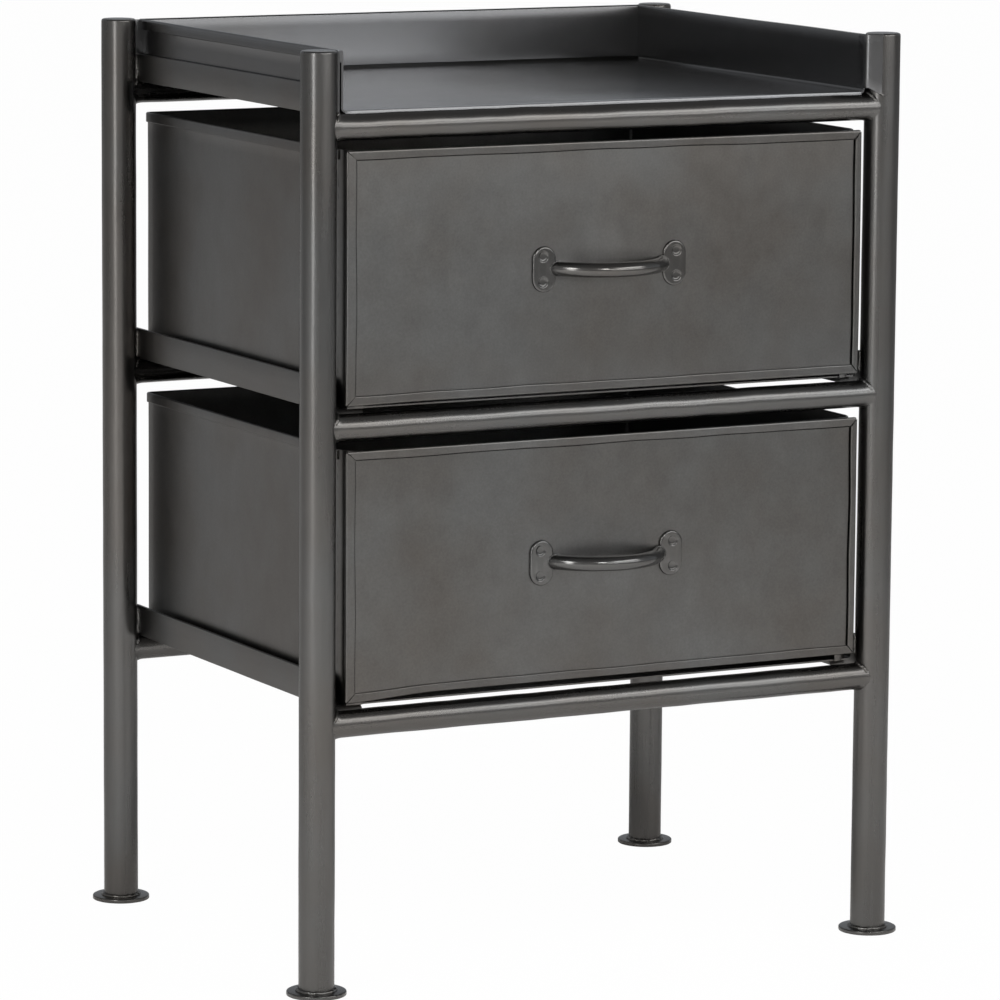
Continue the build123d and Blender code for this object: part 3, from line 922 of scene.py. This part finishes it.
def drawer_bottom(name, body, seed):
    """Flat sheet, slightly uneven on top."""
    low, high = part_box(name)
    edge_round = 0.2 * MM
    corners = [(low.y, low.z, edge_round), (high.y, low.z, edge_round)]
    corners += [(high.y, high.z, edge_round), (low.y, high.z, edge_round)]
    section = subdivided(rounded(corners), SHEET_STEP)
    rings = carried(section, (low.x, 0, 0), (high.x, 0, 0), Y, Z, SHEET_STEP)
    shell = jostled(skin(rings), BOTTOM_DENTS, seed)
    piece(f"{name}_visual", [shell], DRAWER_STEEL, body, "drawer_steel", name)


def stadium(width, height, inset):
    """Upright oval outline with round ends."""
    radius = width / 2 - inset
    rise = height / 2 - width / 2
    return arc((0, rise), radius, 0, 180, 16) + arc((0, -rise), radius, 180, 360, 16)


def dished_plate(centre, height, holes):
    """Oval plate with rounded edges and a countersunk dish at each hole, facing the front."""
    made = bmesh.new()

    def loop(outline, depth):
        return [made.verts.new(centre + X * u + Z * v - Y * depth) for u, v in outline]

    def bridge(first, second):
        for i in range(len(first)):
            j = (i + 1) % len(first)
            made.faces.new((first[i], first[j], second[j], second[i]))

    def rim_edges(ring):
        return [made.edges.get((ring[i - 1], ring[i])) for i in range(len(ring))]

    outer = [loop(stadium(PLATE_WIDTH, height, 0), 0)]
    made.faces.new(outer[0])
    for inset, depth in arc((PLATE_ROUND, PLATE_THICKNESS - PLATE_ROUND), PLATE_ROUND, 180, 90, 4):
        outer.append(loop(stadium(PLATE_WIDTH, height, inset), depth))
        bridge(outer[-2], outer[-1])
    outer.append(loop(stadium(PLATE_WIDTH, height, PLATE_ROUND + 0.3 * MM), PLATE_THICKNESS))
    bridge(outer[-2], outer[-1])
    edges = rim_edges(outer[-1])
    head = RIVET_HEAD + 0.1 * MM
    dish = [(HOLE_MOUTH + 0.6 * MM, 0), (HOLE_MOUTH + 0.35 * MM, 0), (HOLE_MOUTH + 0.1 * MM, -0.08 * MM)]
    dish += [(r, dished(r)) for r in (HOLE_MOUTH - 0.2 * MM, (HOLE_MOUTH + head) / 2, head)]
    dish += [(head - 0.1 * MM, -1.2 * MM)]
    for u, v in holes:
        rings = []
        for radius, depth in dish:
            outline = [(u + a, v + b) for a, b in arc((0, 0), radius, 0, 345, 23)]
            rings.append(loop(outline, PLATE_THICKNESS + depth))
            if len(rings) > 1:
                bridge(rings[-2], rings[-1])
        made.faces.new(rings[-1])
        edges += rim_edges(rings[0])
    bmesh.ops.triangle_fill(made, edges=edges, use_beauty=True, use_dissolve=False)
    return from_bmesh(made)


def handle(name, rivet_name, body):
    """Bowed bar welded to oval end plates, and the sunk rivets in them."""
    low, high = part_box(name)
    rivet_low, rivet_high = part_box(rivet_name)
    middle = (low + high) / 2
    face = Vector((0, high.y, middle.z))
    height = high.z - low.z
    plate_x = high.x - PLATE_WIDTH / 2
    rise = high.y - low.y - BAR_RADIUS
    root = plate_x - ROOT_INSET
    bow = (root**2 + rise**2) / (2 * rise)
    centre = face + Y * (bow - rise)
    # The bar runs on past its roots, and is cut flat just short of the plates' backs
    reach = asin(root / bow) + 1.3 * BAR_RADIUS / bow
    cut = high.y - 0.1 * MM
    count, bar_sides, dent_room = 80, 32, 0.98
    rings = []
    for i in range(count + 1):
        swing = reach * (2 * i / count - 1)
        out = X * sin(swing) - Y * cos(swing)
        axis = centre + out * bow
        ring = []
        for s in range(bar_sides):
            turn = 2 * pi * s / bar_sides
            spot = axis + (out * cos(turn) + Z * sin(turn)) * BAR_RADIUS * dent_room
            spot.y = min(spot.y, cut)
            ring.append(spot)
        rings.append(ring)
    shells = [jostled(skin(rings), BAR_DENTS, seed=5)]
    rivet_x = rivet_high.x - RIVET_HEAD
    rivet_rise = (rivet_high.z - rivet_low.z) / 2 - RIVET_HEAD
    heads = []
    for side in SIDES.values():
        plate = face + X * side * plate_x
        holes = [(side * (rivet_x - plate_x), end * rivet_rise) for end in ENDS.values()]
        shells.append(dished_plate(plate, height, holes))
        shells.append(root_weld(centre, bow, face.y - PLATE_THICKNESS, side))
        for u, v in holes:
            heads.append(rivet(plate + X * u + Z * v - Y * PLATE_THICKNESS, rivet_high.y))
    piece(f"{name}_visual", shells, HANDLE_STEEL, body, "handle_steel", name)
    piece(f"{rivet_name}_visual", heads, HANDLE_STEEL, body, "handle_steel", rivet_name)


def root_weld(centre, bow, plate_y, side):
    """Thin bead where the outer side of the bar runs into the plate's face."""
    lean = acos((centre.y - plate_y) / bow)
    axis_x = side * bow * sin(lean)
    path = []
    count, start, sweep = 30, -105, 210
    for i in range(count):
        turn = radians(start + sweep * i / (count - 1))
        out_x = axis_x + side * BAR_RADIUS * cos(turn) / sin(lean)
        spot = Vector((out_x, plate_y, centre.z + BAR_RADIUS * sin(turn)))
        path.append((spot, (X * side * cos(turn) + Z * sin(turn) - Y).normalized()))
    return bead(path, ROOT_BEAD, side)


def rivet(mouth, tail_y):
    """Rivet with a hollow sunk head and a flat tail behind the drawer front."""
    shank, tail, tail_thick = 2 * MM, 3 * MM, 1 * MM
    length = tail_y - mouth.y
    profile = [(tail * 0.5, -length), (tail - 0.3 * MM, -length), (tail, 0.3 * MM - length)]
    profile += [(tail, tail_thick - length), (shank, tail_thick - length), (shank, -1.5 * MM)]
    profile += [(RIVET_HEAD - 0.1 * MM, dished(RIVET_HEAD) - 0.3 * MM)]
    profile += [(RIVET_HEAD * share, dished(RIVET_HEAD * share)) for share in (1, 0.9, 0.75, 0.5, 0.12)]
    return turned(profile, mouth, up=-Y)


def dished(radius):
    """Height of the hollow round each rivet, below the plate's face."""
    return DISH_DEPTH * ((radius / HOLE_MOUTH) ** 6 - 1)


def return_weld(name, side):
    """Short lumpy bead at the foot of a bent-out tray wall, where it meets the front leg."""
    tray_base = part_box("top_tray")[0].z
    low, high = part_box(name)
    middle, radius = (low + high) / 2, (high.x - low.x) / 2
    angle = RETURN_ANGLES[side]
    aim = Vector((-side * cos(angle), -sin(angle), 0))
    along = Vector((side * sin(angle), -cos(angle), 0))
    path = []
    # From 4 mm short of the leg's middle to 3 mm past it, falling by 6 mm on the way
    count, stand_off = 24, 0.5 * MM
    for i in range(count):
        share = i / (count - 1)
        spot = middle + aim * (radius + stand_off) + along * (7 * share - 4) * MM
        spot.z = tray_base + (4.5 - 6 * share) * MM
        path.append((spot, (aim - Z * 0.6).normalized()))
    piece(f"{name}_tray_weld", [bead(path, RETURN_BEAD, side)], WELD_STEEL, "frame", "tube_steel")


def build_frame():
    """Legs, caps, feet, rails, bars and tray, with their welds; each gets a seed of its own."""
    seed = 0
    leg_low, leg_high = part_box("front_left_leg")
    leg_radius = (leg_high.x - leg_low.x) / 2
    for end in ENDS:
        for side in SIDES:
            seed += 1
            leg(f"{end}_{side}_leg", seed)
            leg_cap(f"{end}_{side}_leg_cap", seed)
            foot(f"{end}_{side}_foot", leg_radius, seed)
        for level in LEVELS:
            seed += 1
            left, right = middle_of(f"{end}_left_leg"), middle_of(f"{end}_right_leg")
            rail(f"{end}_{level}_rail", left, right, leg_radius, seed)
    for side_name, side in SIDES.items():
        tray_support(f"{side_name}_tray_support", side, "front_top_rail", seed + side)
        return_weld(f"front_{side_name}_leg", side)
        for drawer in DRAWERS:
            seed += 1
            runner(f"{drawer}_{side_name}_runner", side, seed)
    top_tray()


def build_drawers():
    """Front, body, bottom, handle and rivets of each drawer."""
    for seed, drawer in enumerate(DRAWERS, start=21):
        body = f"{drawer}_drawer"
        drawer_front(f"{body}_front", body, seed, FRONT_LIFTS[drawer], FRONT_BOWS[drawer])
        drawer_body(f"{body}_body", body, seed)
        drawer_bottom(f"{body}_bottom", body, seed)
        handle(f"{body}_handle", f"{body}_handle_rivets", body)


def background_share(tree, to_camera):
    """How much of the white background a ray sees: the camera most of it, mirrored rays little."""
    paths = add(tree, "ShaderNodeLightPath").outputs
    mirrored_rays = combined(tree, "ADD", paths["Is Glossy Ray"], paths["Is Transmission Ray"])
    mirrored_share = combined(tree, "MULTIPLY", mirrored_rays, MIRRORED_WHITE)
    camera_share = combined(tree, "MULTIPLY", paths["Is Camera Ray"], to_camera)
    return combined(tree, "ADD", mirrored_share, camera_share)


def pale_floor():
    """Pale floor that the camera sees as nearly white, with a trace of the chest's shadow on it."""
    mesh = bpy.data.meshes.new("floor")
    corners = [(-1, -1, 0), (1, -1, 0), (1, 1, 0), (-1, 1, 0)]
    mesh.from_pydata([Vector(corner) * FLOOR_HALF for corner in corners], [], [(0, 1, 2, 3)])
    plane = bpy.data.objects.new("floor", mesh)
    bpy.context.scene.collection.objects.link(plane)
    material = bpy.data.materials.new("pale_floor")
    material.use_nodes = True
    tree = material.node_tree
    tree.nodes.clear()
    matt = add(tree, "ShaderNodeBsdfDiffuse", Color=FLOOR_COLOUR).outputs[0]
    glow = add(tree, "ShaderNodeEmission", Color=WHITE, Strength=1.0).outputs[0]
    both = tree.nodes.new("ShaderNodeMixShader")
    for socket, value in zip(both.inputs, (background_share(tree, FLOOR_WHITE), matt, glow)):
        feed(tree, socket, value)
    add(tree, "ShaderNodeOutputMaterial", Surface=both.outputs[0])
    mesh.materials.append(material)


def sky():
    """Soft room light, brightest low down in front and on the left, dim overhead; white to the camera."""
    world = bpy.data.worlds.new("studio")
    bpy.context.scene.world = world
    world.use_nodes = True
    tree = world.node_tree
    tree.nodes.clear()
    direction = add(tree, "ShaderNodeTexCoord").outputs["Generated"]
    parts = add(tree, "ShaderNodeSeparateXYZ", Vector=direction).outputs
    # From the front left, where the sum is lowest, to the rear right, where it is highest
    across = combined(tree, "ADD", parts["Y"], combined(tree, "MULTIPLY", parts["X"], SKY_SLANT))
    highest = sqrt(1 + SKY_SLANT**2)
    behind = spread(tree, across, -highest, highest, 0, 1)
    low_down = combined(tree, "POWER", spread(tree, parts["Z"], 0, 1, 1, 0), SKY_FALL)
    around = mixed(tree, behind, FRONT_SKY, REAR_SKY)
    tint = mixed(tree, low_down, HIGH_SKY, around)
    tint = mixed(tree, background_share(tree, 1), tint, WHITE)
    glow = add(tree, "ShaderNodeBackground", Color=tint, Strength=1.0).outputs[0]
    add(tree, "ShaderNodeOutputWorld", Surface=glow)


def softbox(name, place, target, size, brightness):
    """Rectangular lamp aimed at a target; brightness is that of its face."""
    lamp = bpy.data.lights.new(name, "AREA")
    lamp.shape = "RECTANGLE"
    lamp.size, lamp.size_y = size
    lamp.energy = 4 * brightness * size[0] * size[1]
    holder = bpy.data.objects.new(name, lamp)
    holder.location = place
    holder.rotation_euler = (Vector(place) - Vector(target)).to_track_quat("Z", "Y").to_euler()
    bpy.context.scene.collection.objects.link(holder)
    return holder


def lamp_place(azimuth, elevation, distance):
    """Place seen from the chest in a direction given in degrees; azimuth 0 is in front."""
    a, e = radians(azimuth), radians(elevation)
    return CHEST_MIDDLE + Vector((sin(a) * cos(e), -cos(a) * cos(e), sin(e))) * distance


def lights():
    """Strips in front and on the left, two windows, a rim light behind, lamps for the floor alone."""
    for name, (azimuth, elevation, distance, face, brightness) in LAMPS.items():
        softbox(name, lamp_place(azimuth, elevation, distance), CHEST_MIDDLE, face, brightness)
    for name, (x, y, size, brightness) in FLOOR_LAMPS.items():
        place, target = (x, y, FLOOR_LAMP_HEIGHT), (x, y - 0.001, 0)
        lamp = softbox(f"{name}_floor_lamp", place, target, (size, size), brightness)
        lamp.visible_glossy = False


def camera():
    """Camera where the photograph was taken from."""
    lens = bpy.data.cameras.new("camera")
    lens.lens, lens.sensor_width = CAMERA_LENS, CAMERA_SENSOR
    lens.clip_end = CAMERA_REACH
    holder = bpy.data.objects.new("camera", lens)
    turn = Euler((radians(90 - CAMERA_ELEVATION), 0, radians(CAMERA_AZIMUTH))).to_matrix().to_4x4()
    roll = Matrix.Rotation(radians(CAMERA_ROLL), 4, "Z")
    holder.matrix_world = Matrix.Translation(CAMERA_PLACE) @ turn @ roll
    bpy.context.scene.collection.objects.link(holder)
    bpy.context.scene.camera = holder


build_frame()
build_drawers()
pale_floor()
sky()
lights()
camera()
bpy.context.scene.view_settings.view_transform = "Standard"
